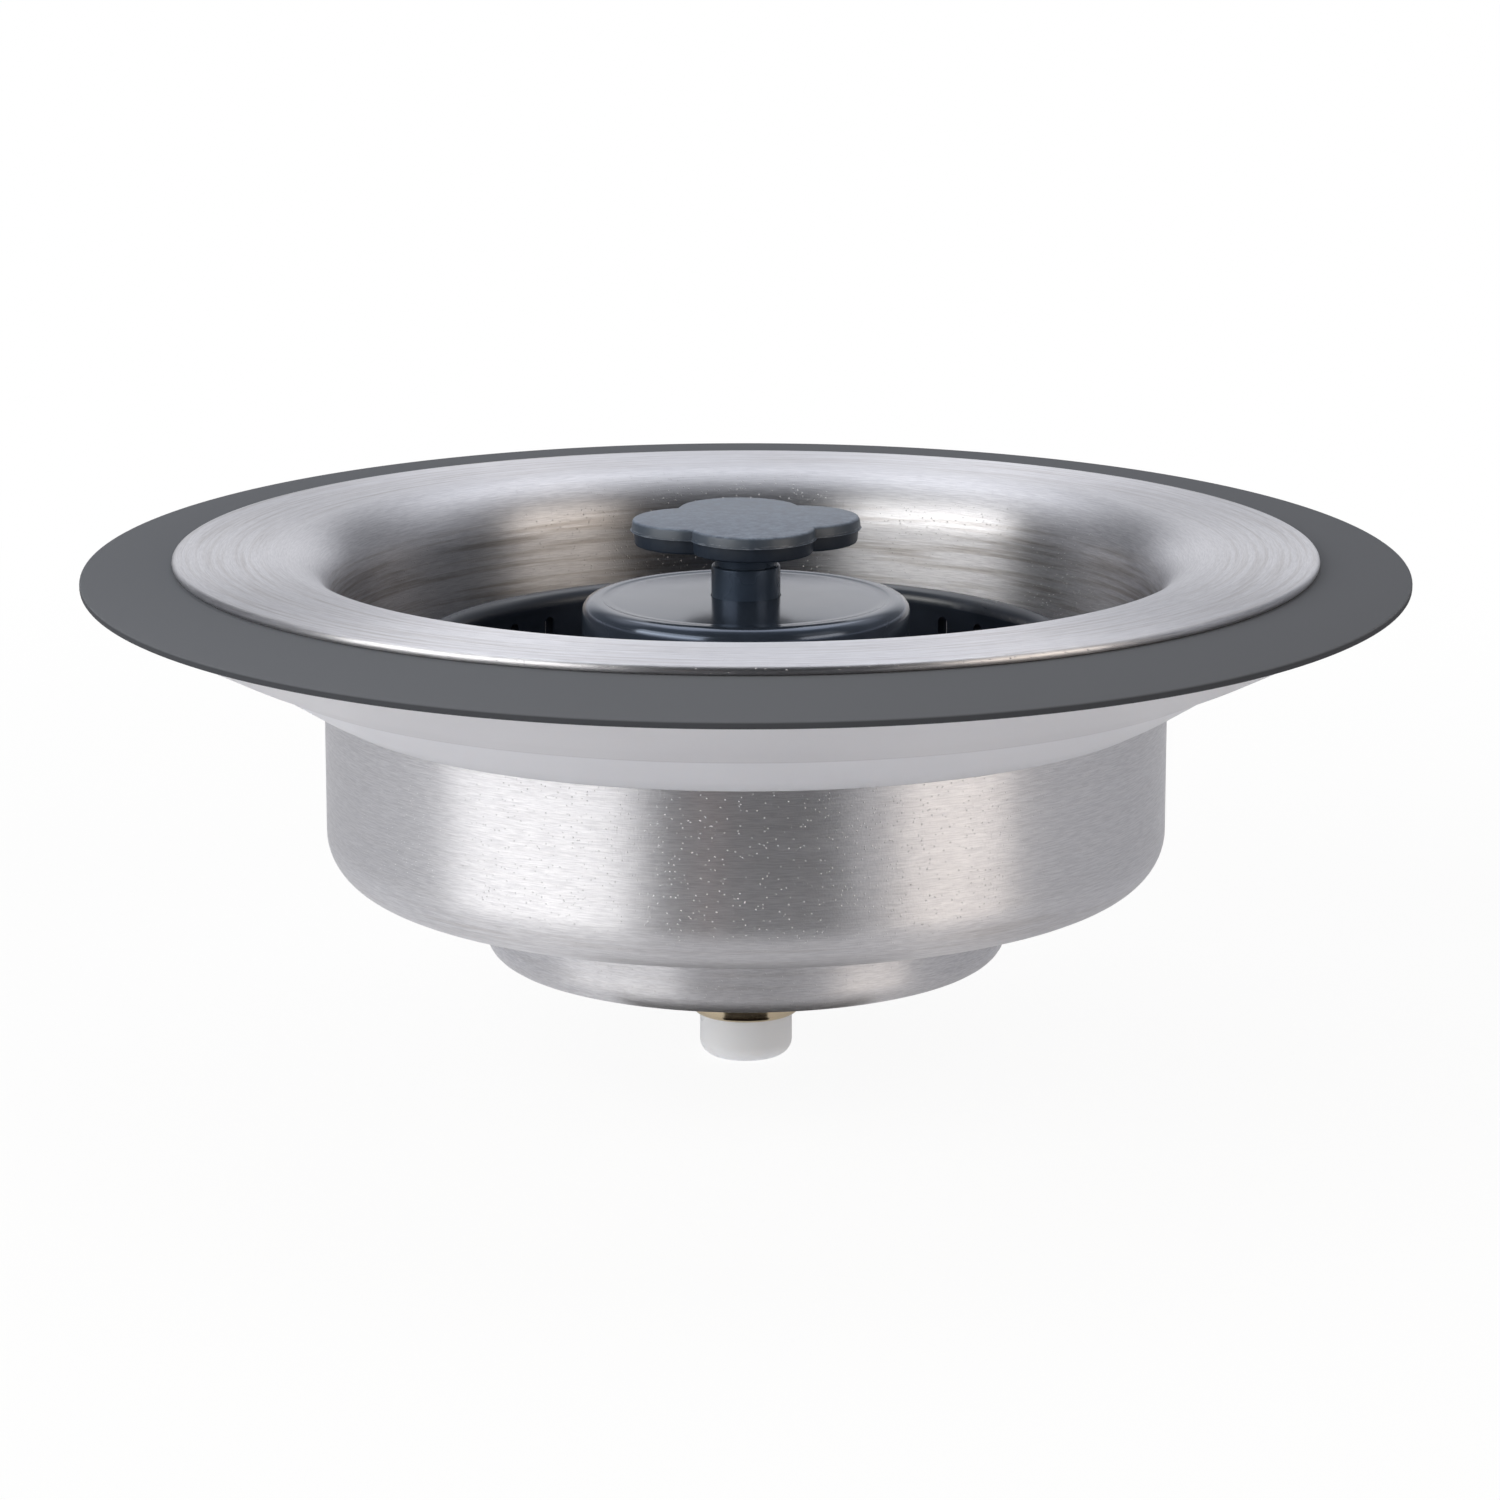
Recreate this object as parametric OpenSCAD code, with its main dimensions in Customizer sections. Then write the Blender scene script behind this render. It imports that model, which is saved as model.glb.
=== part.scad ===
// Sink strainer: a pressed steel cup with a lift-out slotted basket and a push-pull plug.
// Millimetres. The origin is on the centre line, at the top face of the flange, +Z up.
// Heights are given as depths below that face. The plug is drawn raised, which is open.

/* [Steel cup] */
// Diameter of the flange
flange_d = 114; // [112:0.5:116]
// Thickness of the steel sheet
sheet_t = 0.9; // [0.8:0.1:1]
// Outer diameter of the deep cup
cup_d = 84.3; // [84:0.1:85]
// Depth of the cup's underside
cup_depth = 33.3; // [33:0.1:34]
// Outer radius of the cup's bottom corner
cup_corner_r = 5.2; // [4.5:0.1:5.5]
// Radius of the rounded mouth
mouth_r = 5.6; // [5.2:0.1:6]
// Outer diameter of the lower step
step_d = 52.5; // [52:0.5:54]
// Depth of the step's underside
step_depth = 41.35; // [41:0.05:42]
// Outer radius of the step's bottom corner
step_corner_r = 2.3; // [2:0.1:3]
// Inner radius of the shoulder above the step
shoulder_r = 0.8; // [0.6:0.1:1]
// Diameter of one drain hole
drain_hole_d = 8; // [7:0.5:8.5]
// Number of drain holes
drain_hole_count = 8; // [6:1:8]
// Distance of the drain holes from the centre
drain_hole_radius = 15.5; // [15:0.5:16.5]

/* [Gasket and seat ring] */
// Diameter of the rubber gasket
gasket_d = 132.2; // [130:0.2:134]
// Thickness of the gasket under the flange
gasket_t = 1.2; // [1:0.1:1.5]
// Thickness of the gasket's free edge
gasket_edge_t = 0.75; // [0.6:0.05:1]
// How far the free edge of the gasket hangs below the flange
gasket_droop = 0.95; // [0.6:0.05:1.2]
// Diameter of the seat ring's upper edge
seat_d = 126.2; // [124:0.2:128]
// Depth of the seat ring's lip against the cup
seat_depth = 15; // [14:0.1:15.2]
// Diameter of the crease between the seat ring's two bands
crease_d = 99.6; // [98:0.2:101]
// Depth of that crease
crease_depth = 10.5; // [10.2:0.1:10.8]

/* [Centre socket] */
// Outer diameter of the metal ferrule
ferrule_d = 10.8; // [10.6:0.1:11.2]
// Depth of the ferrule's lower edge
ferrule_depth = 47.8; // [47:0.1:48.5]
// Across flats of the hexagon nut
nut_af = 14; // [13:0.5:15]
// Outer diameter of the white socket
socket_d = 9.34; // [9.2:0.02:9.5]
// Depth of the socket's rounded end
socket_depth = 52.3; // [52:0.1:53]

/* [Basket] */
// Outer diameter of the basket's rim
basket_d = 66.8; // [66:0.2:68]
// Depth of the basket's rim
rim_depth = 9.5; // [9.2:0.1:10.5]
// Wall thickness of the basket
basket_t = 1.4; // [1.3:0.1:1.6]
// Depth of the basket floor's top face
floor_depth = 22.4; // [22:0.1:22.8]
// Number of slots round the wall
slot_count = 40; // [36:1:42]
// Width of one slot
slot_w = 1.2; // [1:0.1:1.4]
// Depth of the top of the slots
slot_top_depth = 12; // [11.8:0.1:13]
// Number of radial slots in the floor
floor_slot_count = 24; // [16:1:28]
// Number of feet under the wall
foot_count = 8; // [6:1:8]

/* [Hub] */
// Diameter of the hub cap
hub_d = 32.8; // [32:0.2:33]
// Depth of the hub cap's rim
hub_depth = 5.1; // [4.9:0.1:5.3]

/* [Plug and knob] */
// Travel of the plug from open to shut
stroke = 4.3; // [4:0.1:4.3]
// Diameter of the stem through the hub
stem_d = 6.9; // [6.7:0.1:6.9]
// Diameter of the stem in the plug disc
neck_d = 5.8; // [5.6:0.1:5.8]
// Diameter of the stem's lower end
tip_d = 4.4; // [4.2:0.1:4.4]
// Diameter of the rubber seal
seal_d = 60.8; // [60:0.2:61]
// Height of the knob's top face
knob_top = 3.05; // [2.8:0.05:3.2]
// Thickness of the knob
knob_t = 2.55; // [2.4:0.05:2.7]
// Radius of one knob lobe
lobe_r = 6.3; // [6:0.1:6.6]
// Distance of a lobe's centre from the stem
lobe_offset = 5.2; // [5:0.1:5.4]
// Angle of the first lobe, from +X
lobe_angle = 7.3; // [0:0.1:45]

/* [Hidden] */
$fn = 96;
// Overlap that lets one cut run clear of a face
cut = 0.5;
// Radial play of a running fit and of a loose one
run_fit = 0.08;
loose_fit = 0.1;
// Radial play of a push fit, and of a thread drawn plain
push_fit = 0.04;
thread_fit = 0.03;
// Gap between two moulded or turned faces that meet
face_gap = 0.05;
// How far a rib is sunk into the wall that carries it
rib_sink = 0.3;

cup_r = cup_d / 2;
cup_in_r = cup_r - sheet_t;
mouth_centre_r = cup_in_r + mouth_r;
cup_floor_z = -cup_depth + sheet_t;
step_r = step_d / 2;
step_floor_z = -step_depth + sheet_t;
step_top_z = -cup_depth - shoulder_r;
shoulder_centre_r = step_r + shoulder_r;

gasket_in_r = mouth_centre_r + 0.2;
gasket_bend_r = flange_d / 2 + 0.2;
gasket_under_z = -sheet_t - gasket_t;
seat_in_r = cup_r + loose_fit;
seat_bevel_depth = 6.4;
seat_top_z = gasket_under_z - 1.3;
seat_edge_h = 0.75;
seat_edge_w = 0.3;
seat_lip_w = 2.2;
seat_lip_rise = 1.15;
seat_crease_w = 0.1;
seat_step_w = 4.2;
seat_step_z = -8.7;

ferrule_r = ferrule_d / 2;
ferrule_bore_r = socket_d / 2 + push_fit;
ferrule_flange_r = 8.2;
ferrule_flange_t = 0.6;
ferrule_edge_r = 0.55;
nut_t = 3;
nut_bevel = 0.6;
socket_r = socket_d / 2;
socket_flange_r = 6.4;
socket_flange_t = 0.85;
socket_round_r = 1.6;
socket_bore_r = tip_d / 2 + loose_fit;
socket_floor_t = 1.4;
socket_top_z = step_floor_z + ferrule_flange_t + socket_flange_t;
grip_t = 1;
grip_r = tip_d / 2 + loose_fit + grip_t / 2;
grip_z = -42.6;

basket_r = basket_d / 2;
rim_step = 0.4;
rim_h = 1.8;
rim_edge_r = 0.5;
rim_round_r = 1.4;
wall_r = basket_r - rim_step;
wall_in_r = wall_r - basket_t;
basket_floor_t = 1.5;
basket_under_z = -floor_depth - basket_floor_t;
floor_fillet_r = 1.2;
slot_rise = 0.4;
slot_bottom_z = -floor_depth + floor_fillet_r + slot_rise;
floor_slot_w = 1.5;
floor_slot_in_r = 19;
floor_slot_out_r = 29;
foot_w = 9;
foot_top_z = -26.4;
tower_r = 15;
tower_t = 1.5;
hub_r = hub_d / 2;
hub_top_t = 1.7;
hub_round_r = 1.1;
hub_rim_w = 0.95;
hub_dish = 0.35;
hub_dish_r = 11.5;
hub_dish_arc_r = 18;
hub_skirt_depth = 13;
guide_r = 5.5;
guide_depth = 20.5;
guide_bore_r = stem_d / 2 + run_fit;
hub_seat_z = -hub_depth - hub_dish - hub_top_t;
hub_crown = 0.2;
hub_rib_h = 5;
rib_t = 1.2;
rib_count = 6;

seal_z = cup_floor_z + stroke + loose_fit;
seal_t = 2.2;
seal_bore_r = 16;
seal_lip_w = 2;
disc_r = 23;
disc_t = 1.6;
disc_top_z = seal_z + seal_t + disc_t;
snap_r = seal_bore_r + 1.4;
snap_t = 1.2;
snap_edge_t = 0.3;
spigot_rib_gap = 0.4;
spigot_t = 1.6;
boss_r = 6.6;
boss_bottom_z = -31.5;
o_ring_t = 1.2;
o_ring_r = neck_d / 2 + face_gap + o_ring_t / 2;
o_ring_depth = 3.2;
o_ring_z = disc_top_z - o_ring_depth;

knob_under = knob_top - knob_t;
parting_z = 1.95;
knob_bevel = 0.55;
knob_draft = 0.15;
spigot_r = 2;
spigot_h = 1.6;
shoulder_gap = 0.7;
tip_z = -46;
clip_t = 0.7;
clip_r = 4.6;
clip_groove_r = 2.4;
clip_web = 0.9;
clip_mouth_w = 2.6;
detent_depth = 0.2;
detent_w = 1.4;
neck_end = 2.2;
tip_start_z = boss_bottom_z - neck_end;

// One quarter of a sheet bend round a centre, in the quadrant that the two signs give
module bend(centre, outer, inner, side_r, side_z) {
    translate(centre) intersection() {
        difference() {
            circle(outer);
            circle(inner);
        }
        translate([side_r < 0 ? -outer : 0, side_z < 0 ? -outer : 0]) square(outer);
    }
}

// A straight run of a profile between two radii and two heights
module strip(r1, r2, z1, z2) {
    translate([r1, z1]) square([r2 - r1, z2 - z1]);
}

// The lower outer edge of a turned piece, rounded about a centre
module round_edge(centre, r) {
    translate(centre) intersection() {
        circle(r);
        translate([0, -r]) square(r);
    }
}

// A round slot of the given size, lying along X
module slot_shape(length, width) {
    square([length - width, width], center = true);
    for (side = [-1, 1]) translate([side * (length - width) / 2, 0]) circle(d = width, $fn = 24);
}

// The deep cup, from its flange down to the shoulder above the step
module strainer_cup() {
    color("silver") rotate_extrude() {
        strip(mouth_centre_r, flange_d / 2 - sheet_t / 2, -sheet_t, 0);
        translate([flange_d / 2 - sheet_t / 2, -sheet_t / 2]) circle(sheet_t / 2);
        bend([mouth_centre_r, -mouth_r], mouth_r, mouth_r - sheet_t, -1, 1);
        strip(cup_in_r, cup_r, -cup_depth + cup_corner_r, -mouth_r);
        bend([cup_r - cup_corner_r, -cup_depth + cup_corner_r],
             cup_corner_r, cup_corner_r - sheet_t, 1, -1);
        strip(shoulder_centre_r, cup_r - cup_corner_r, -cup_depth, cup_floor_z);
        bend([shoulder_centre_r, step_top_z], shoulder_r + sheet_t, shoulder_r, -1, 1);
    }
}

// The step below the shoulder, with the drain holes in its floor
module drain_step() {
    color("silver") difference() {
        rotate_extrude() {
            strip(step_r - sheet_t, step_r, -step_depth + step_corner_r, step_top_z);
            bend([step_r - step_corner_r, -step_depth + step_corner_r],
                 step_corner_r, step_corner_r - sheet_t, 1, -1);
            strip(ferrule_r, step_r - step_corner_r, -step_depth, step_floor_z);
        }
        for (i = [0 : drain_hole_count - 1]) rotate(i * 360 / drain_hole_count)
            translate([drain_hole_radius, 0, -step_depth - cut])
                cylinder(d = drain_hole_d, h = sheet_t + 2 * cut);
    }
}

module flange_gasket() {
    edge_z = -sheet_t - gasket_droop;
    color("dimgray") rotate_extrude() polygon([
        [gasket_in_r, -sheet_t],
        [gasket_bend_r, -sheet_t],
        [gasket_d / 2, edge_z],
        [gasket_d / 2, edge_z - gasket_edge_t],
        [gasket_bend_r, gasket_under_z],
        [gasket_in_r, gasket_under_z]
    ]);
}

// The dished ring under the gasket: two conical bands that run down to a lip on the cup
module seat_ring() {
    crease_r = crease_d / 2;
    seat_r = seat_d / 2;
    color("whitesmoke", 0.8) rotate_extrude() polygon([
        [seat_in_r, -seat_depth],
        [seat_in_r + seat_lip_w, -seat_depth + seat_lip_rise],
        [crease_r, -crease_depth],
        [crease_r + seat_crease_w, -crease_depth - seat_crease_w / 2],
        [crease_r + seat_step_w, seat_step_z],
        [seat_r, seat_top_z - seat_edge_h],
        [seat_r - seat_edge_w, seat_top_z],
        [gasket_bend_r, gasket_under_z],
        [gasket_in_r, gasket_under_z],
        [seat_in_r, -seat_bevel_depth]
    ]);
}

// A flanged sleeve through the middle of the step, held by a nut
module centre_ferrule() {
    edge_z = -ferrule_depth + ferrule_edge_r;
    color("tan") rotate_extrude() {
        strip(ferrule_bore_r, ferrule_r, edge_z, step_floor_z + ferrule_flange_t);
        strip(ferrule_bore_r, ferrule_r - ferrule_edge_r, -ferrule_depth, edge_z);
        strip(ferrule_bore_r, ferrule_flange_r, step_floor_z, step_floor_z + ferrule_flange_t);
        round_edge([ferrule_r - ferrule_edge_r, edge_z], ferrule_edge_r);
    }
}

module ferrule_nut() {
    corner_r = nut_af / 2 / cos(30);
    color("gainsboro") difference() {
        intersection() {
            translate([0, 0, -step_depth - nut_t]) cylinder(r = corner_r, h = nut_t, $fn = 6);
            rotate_extrude() polygon([
                [0, -step_depth - nut_t],
                [corner_r - nut_bevel, -step_depth - nut_t],
                [corner_r, -step_depth - nut_t + nut_bevel / 2],
                [corner_r, -step_depth],
                [0, -step_depth]
            ]);
        }
        translate([0, 0, -step_depth - nut_t - cut])
            cylinder(r = ferrule_r + thread_fit, h = nut_t + 2 * cut);
    }
}

// The white socket that takes the end of the stem, with a groove for its rubber grip ring
module stem_socket() {
    bottom_z = -socket_depth;
    lead_in = 1.2;
    color("white") rotate_extrude() difference() {
        union() {
            strip(0, socket_r, bottom_z + socket_round_r, socket_top_z);
            strip(0, socket_r - socket_round_r, bottom_z, bottom_z + socket_round_r);
            round_edge([socket_r - socket_round_r, bottom_z + socket_round_r], socket_round_r);
            strip(0, socket_flange_r, socket_top_z - socket_flange_t, socket_top_z);
        }
        strip(-cut, socket_bore_r, bottom_z + socket_floor_t, socket_top_z + cut);
        strip(-cut, grip_r + grip_t / 2, grip_z - grip_t / 2, grip_z + grip_t / 2);
        polygon([
            [socket_bore_r - cut, socket_top_z - lead_in - cut],
            [socket_bore_r, socket_top_z - lead_in],
            [socket_bore_r + lead_in, socket_top_z],
            [socket_bore_r + lead_in, socket_top_z + cut],
            [socket_bore_r - cut, socket_top_z + cut]
        ]);
    }
}

module grip_ring() {
    color("black") translate([0, 0, grip_z]) rotate_extrude() translate([grip_r, 0]) circle(grip_t / 2);
}

module basket_profile() {
    rim_z = -rim_depth;
    crest_r = basket_r - rim_edge_r;
    // Rim, with a small edge outside and a wide curve inside
    translate([crest_r, rim_z - rim_edge_r]) circle(rim_edge_r);
    intersection() {
        translate([crest_r, rim_z - rim_round_r]) circle(rim_round_r);
        strip(0, crest_r, rim_z - rim_round_r, rim_z);
    }
    strip(crest_r, basket_r, rim_z - rim_h, rim_z - rim_edge_r);
    strip(crest_r - rim_round_r, crest_r, rim_z - rim_h, rim_z - rim_round_r);
    // Wall and feet, floor with its fillet, and tower
    strip(wall_in_r, wall_r, cup_floor_z, rim_z - rim_round_r);
    strip(tower_r - tower_t, wall_r, basket_under_z, -floor_depth);
    difference() {
        strip(wall_in_r - floor_fillet_r, wall_in_r, -floor_depth, -floor_depth + floor_fillet_r);
        translate([wall_in_r - floor_fillet_r, -floor_depth + floor_fillet_r]) circle(floor_fillet_r);
    }
    difference() {
        strip(tower_r, tower_r + floor_fillet_r, -floor_depth, -floor_depth + floor_fillet_r);
        translate([tower_r + floor_fillet_r, -floor_depth + floor_fillet_r]) circle(floor_fillet_r);
    }
    strip(tower_r - tower_t, tower_r, basket_under_z, hub_seat_z);
}

// A round-ended slot through the wall, rising straight up
module wall_slot() {
    slot_h = -slot_top_depth - slot_bottom_z;
    translate([wall_in_r - cut, 0, slot_bottom_z + slot_h / 2])
        rotate([0, 90, 0]) linear_extrude(basket_t + 2 * cut) slot_shape(slot_h, slot_w);
}

module basket() {
    foot_pitch = 360 / foot_count;
    foot_angle = 2 * asin(foot_w / 2 / wall_r);
    floor_slot_mid = (floor_slot_in_r + floor_slot_out_r) / 2;
    color("darkslategray") difference() {
        rotate_extrude() basket_profile();
        for (i = [0 : slot_count - 1]) rotate((i + 0.5) * 360 / slot_count) wall_slot();
        for (i = [0 : floor_slot_count - 1]) rotate((i + 0.5) * 360 / floor_slot_count)
            translate([floor_slot_mid, 0, basket_under_z - cut])
                linear_extrude(basket_floor_t + 2 * cut)
                    slot_shape(floor_slot_out_r - floor_slot_in_r, floor_slot_w);
        // Openings between the feet, where the water leaves under the basket
        for (i = [0 : foot_count - 1]) rotate(i * foot_pitch)
            rotate([0, 0, -(foot_pitch - foot_angle) / 2])
                rotate_extrude(angle = foot_pitch - foot_angle)
                    strip(wall_in_r - cut, wall_r + cut, cup_floor_z - cut, foot_top_z);
    }
}

// The dished cap that closes the basket's tower and guides the stem
module hub_cap() {
    top_z = -hub_depth;
    edge_r = hub_r - hub_round_r;
    dish_z = top_z - hub_dish;
    color("slategray") {
        difference() {
            rotate_extrude() difference() {
                union() {
                    translate([edge_r, top_z - hub_round_r]) circle(hub_round_r);
                    strip(0, edge_r, hub_seat_z, top_z);
                    strip(0, hub_dish_r, top_z, top_z + hub_crown);
                    strip(0, hub_r, hub_seat_z, top_z - hub_round_r);
                    strip(tower_r + face_gap, hub_r, -hub_skirt_depth, hub_seat_z);
                    strip(0, guide_r, -guide_depth, hub_seat_z);
                }
                // Shallow trough between the rim and the crown round the stem
                intersection() {
                    translate([hub_dish_r, dish_z + hub_dish_arc_r]) circle(hub_dish_arc_r);
                    strip(0, edge_r - hub_rim_w, dish_z - cut, top_z + hub_crown + cut);
                }
            }
            translate([0, 0, -guide_depth - cut]) cylinder(r = guide_bore_r, h = guide_depth);
        }
        for (i = [0 : rib_count - 1]) rotate((i + 0.5) * 360 / rib_count)
            translate([guide_r - rib_sink, -rib_t / 2, hub_seat_z - hub_rib_h])
                cube([tower_r - tower_t - guide_r, rib_t, hub_rib_h + hub_top_t / 2]);
    }
}

// The moulded disc that carries the seal under the basket
module plug_disc() {
    spigot_out_r = seal_bore_r - face_gap;
    snap_z = seal_z - snap_t;
    color("slategray") {
        difference() {
            rotate_extrude() {
                strip(0, disc_r, disc_top_z - disc_t, disc_top_z);
                strip(spigot_out_r - spigot_t, spigot_out_r, snap_z, disc_top_z - disc_t);
                polygon([
                    [spigot_out_r - spigot_t, snap_z],
                    [spigot_out_r, snap_z],
                    [snap_r, seal_z - snap_edge_t],
                    [snap_r, seal_z],
                    [spigot_out_r - spigot_t, seal_z]
                ]);
                strip(0, boss_r, boss_bottom_z, disc_top_z - disc_t);
            }
            translate([0, 0, boss_bottom_z - cut])
                cylinder(r = neck_d / 2 + run_fit, h = disc_top_z - boss_bottom_z + 2 * cut);
            translate([0, 0, o_ring_z - o_ring_t / 2]) cylinder(r = o_ring_r + o_ring_t / 2, h = o_ring_t);
        }
        for (i = [0 : rib_count - 1]) rotate(i * 360 / rib_count)
            translate([boss_r - rib_sink, -rib_t / 2, snap_z + spigot_rib_gap])
                cube([spigot_out_r - spigot_t - boss_r + 2 * rib_sink, rib_t,
                      disc_top_z - disc_t - snap_z]);
    }
}

// The rubber washer that shuts the step's mouth, with a raised lip on its underside
module plug_seal() {
    seal_r = seal_d / 2;
    web_lift = 0.1;
    lip_h = 0.5;
    lip_slope_w = 0.8;
    edge_t = 0.7;
    color("black") rotate_extrude() polygon([
        [seal_bore_r, seal_z],
        [disc_r, seal_z + web_lift],
        [seal_r - seal_lip_w - lip_slope_w, seal_z + lip_h],
        [seal_r - seal_lip_w, seal_z],
        [seal_r, seal_z],
        [seal_r, seal_z + edge_t],
        [disc_r + lip_slope_w, seal_z + seal_t],
        [seal_bore_r, seal_z + seal_t]
    ]);
}

module stem_o_ring() {
    color("black") translate([0, 0, o_ring_z])
        rotate_extrude() translate([o_ring_r, 0]) circle(o_ring_t / 2);
}

// The points of a square groove turned into a stem of radius r at height z
function groove(r, z, width, depth) = [
    [r, z - width / 2], [r - depth, z - width / 2], [r - depth, z + width / 2], [r, z + width / 2]
];

// One turned stem: tip in the socket, neck in the disc, body in the hub and spigot in the knob
module stem() {
    body_top = knob_under - shoulder_gap;
    bevel = 0.35;
    collar_r = stem_d / 2 - 1.6 * bevel;
    tip_r = tip_d / 2;
    tip_bevel = 0.8;
    clip_groove_w = clip_t + 0.1;
    clip_groove_z = boss_bottom_z - face_gap - clip_groove_w / 2;
    color("slategray") rotate_extrude() polygon(concat(
        [[0, tip_z], [tip_r - tip_bevel, tip_z], [tip_r, tip_z + tip_bevel]],
        groove(tip_r, grip_z, detent_w, detent_depth),
        groove(tip_r, grip_z + stroke, detent_w, detent_depth),
        [[tip_r, tip_start_z], [neck_d / 2, tip_start_z]],
        groove(neck_d / 2, clip_groove_z, clip_groove_w, neck_d / 2 - clip_groove_r),
        [
            [neck_d / 2, disc_top_z + face_gap],
            [stem_d / 2, disc_top_z + face_gap],
            [stem_d / 2, body_top - bevel],
            [stem_d / 2 - bevel, body_top],
            [collar_r, body_top],
            [collar_r, knob_under],
            [spigot_r, knob_under],
            [spigot_r, knob_under + spigot_h],
            [0, knob_under + spigot_h]
        ]
    ));
}

// A snap clip with three lugs that bears on the disc's boss
module stem_clip() {
    lug_r = 1.1;
    clip_z = boss_bottom_z - clip_t - face_gap;
    color("gainsboro") translate([0, 0, clip_z]) linear_extrude(clip_t) difference() {
        union() {
            circle(clip_r - clip_web);
            for (a = [90, 210, 330]) rotate(a) translate([clip_r - lug_r, 0]) circle(lug_r);
        }
        circle(clip_groove_r + thread_fit);
        translate([0, -clip_r]) square([clip_mouth_w, 2 * clip_r], center = true);
    }
}

// One lobe of the knob: a button with a parting line, draft both ways and bevelled edges
module knob_lobe() {
    rotate_extrude() polygon([
        [0, knob_under],
        [lobe_r - knob_draft - knob_bevel / 2, knob_under],
        [lobe_r - knob_draft, knob_under + knob_bevel / 2],
        [lobe_r, parting_z],
        [lobe_r - knob_draft, knob_top - knob_bevel],
        [lobe_r - knob_draft - knob_bevel, knob_top],
        [0, knob_top]
    ]);
}

module knob() {
    color("lightslategray") difference() {
        for (i = [0 : 3]) rotate(lobe_angle + 90 * i) translate([lobe_offset, 0, 0]) knob_lobe();
        translate([0, 0, knob_under - cut])
            cylinder(r = spigot_r + push_fit / 2, h = spigot_h + cut + 2 * face_gap);
    }
}

strainer_cup();
drain_step();
flange_gasket();
seat_ring();
centre_ferrule();
ferrule_nut();
stem_socket();
grip_ring();
basket();
hub_cap();
plug_disc();
plug_seal();
stem_o_ring();
stem();
stem_clip();
knob();
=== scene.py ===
import math
import bpy
import bmesh
from mathutils import Matrix, Vector, noise


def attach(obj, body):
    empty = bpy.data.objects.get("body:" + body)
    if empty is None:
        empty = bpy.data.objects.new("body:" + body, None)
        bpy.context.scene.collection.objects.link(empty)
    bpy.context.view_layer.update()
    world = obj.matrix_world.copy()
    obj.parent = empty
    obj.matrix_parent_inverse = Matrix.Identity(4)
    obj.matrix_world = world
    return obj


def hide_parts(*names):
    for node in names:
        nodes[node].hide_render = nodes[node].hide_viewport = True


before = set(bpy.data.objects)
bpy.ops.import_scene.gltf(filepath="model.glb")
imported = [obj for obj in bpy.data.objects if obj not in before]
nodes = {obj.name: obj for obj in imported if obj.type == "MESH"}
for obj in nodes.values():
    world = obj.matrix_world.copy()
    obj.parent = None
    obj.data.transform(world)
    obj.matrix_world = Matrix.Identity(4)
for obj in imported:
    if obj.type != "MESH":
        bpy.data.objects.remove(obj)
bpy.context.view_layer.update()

mm = 0.001
merging = 0.001 * mm    # points closer than this are made one
sharpAngle = 32         # degrees between faces past which an edge shades sharp


def toLinear(hexColour):
    parts = [int(hexColour[i:i + 2], 16) / 255 for i in (1, 3, 5)]
    return [c / 12.92 if c <= 0.04045 else ((c + 0.055) / 1.055) ** 2.4 for c in parts] + [1.0]


def addNode(tree, kind, settings=None, **sockets):
    # A socket of another node is linked, and anything else is set. in0 is the first input,
    # and an underscore stands for a blank.
    node = tree.nodes.new(kind)
    for key, value in (settings or {}).items():
        setattr(node, key, value)
    for key, value in sockets.items():
        byNumber = key.startswith("in") and key[2:].isdigit()
        socket = node.inputs[int(key[2:])] if byNumber else node.inputs[key.replace("_", " ")]
        if isinstance(value, bpy.types.NodeSocket):
            tree.links.new(value, socket)
        else:
            socket.default_value = value
    return node


def newMaterial(name, **sockets):
    # a Principled surface with its fixed values on its own sockets
    material = bpy.data.materials.new(name)
    material.use_nodes = True
    tree = material.node_tree
    tree.nodes.clear()
    surface = addNode(tree, "ShaderNodeBsdfPrincipled", **sockets)
    addNode(tree, "ShaderNodeOutputMaterial", Surface=surface.outputs["BSDF"])
    return material, tree, surface


def ringCoordinates(tree, around, across):
    # Object coordinates bent round the centre line: the vector runs round the part and up it,
    # and W runs out from it.
    place = addNode(tree, "ShaderNodeTexCoord").outputs["Object"]
    axes = addNode(tree, "ShaderNodeSeparateXYZ", Vector=place).outputs
    flat = addNode(tree, "ShaderNodeCombineXYZ", X=axes["X"], Y=axes["Y"])
    radius = addNode(tree, "ShaderNodeVectorMath", {"operation": "LENGTH"}, in0=flat.outputs[0])
    unit = addNode(tree, "ShaderNodeVectorMath", {"operation": "NORMALIZE"}, in0=flat.outputs[0])
    turn = addNode(tree, "ShaderNodeSeparateXYZ", Vector=unit.outputs["Vector"]).outputs
    x = addNode(tree, "ShaderNodeMath", {"operation": "MULTIPLY"}, in0=turn["X"], in1=around)
    y = addNode(tree, "ShaderNodeMath", {"operation": "MULTIPLY"}, in0=turn["Y"], in1=around)
    z = addNode(tree, "ShaderNodeMath", {"operation": "MULTIPLY"}, in0=axes["Z"], in1=across)
    w = addNode(tree, "ShaderNodeMath", {"operation": "MULTIPLY"}, in0=radius.outputs["Value"], in1=across)
    bent = addNode(tree, "ShaderNodeCombineXYZ", X=x.outputs[0], Y=y.outputs[0], Z=z.outputs[0])
    return bent.outputs[0], w.outputs[0], axes, radius.outputs["Value"]


# steel

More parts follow.
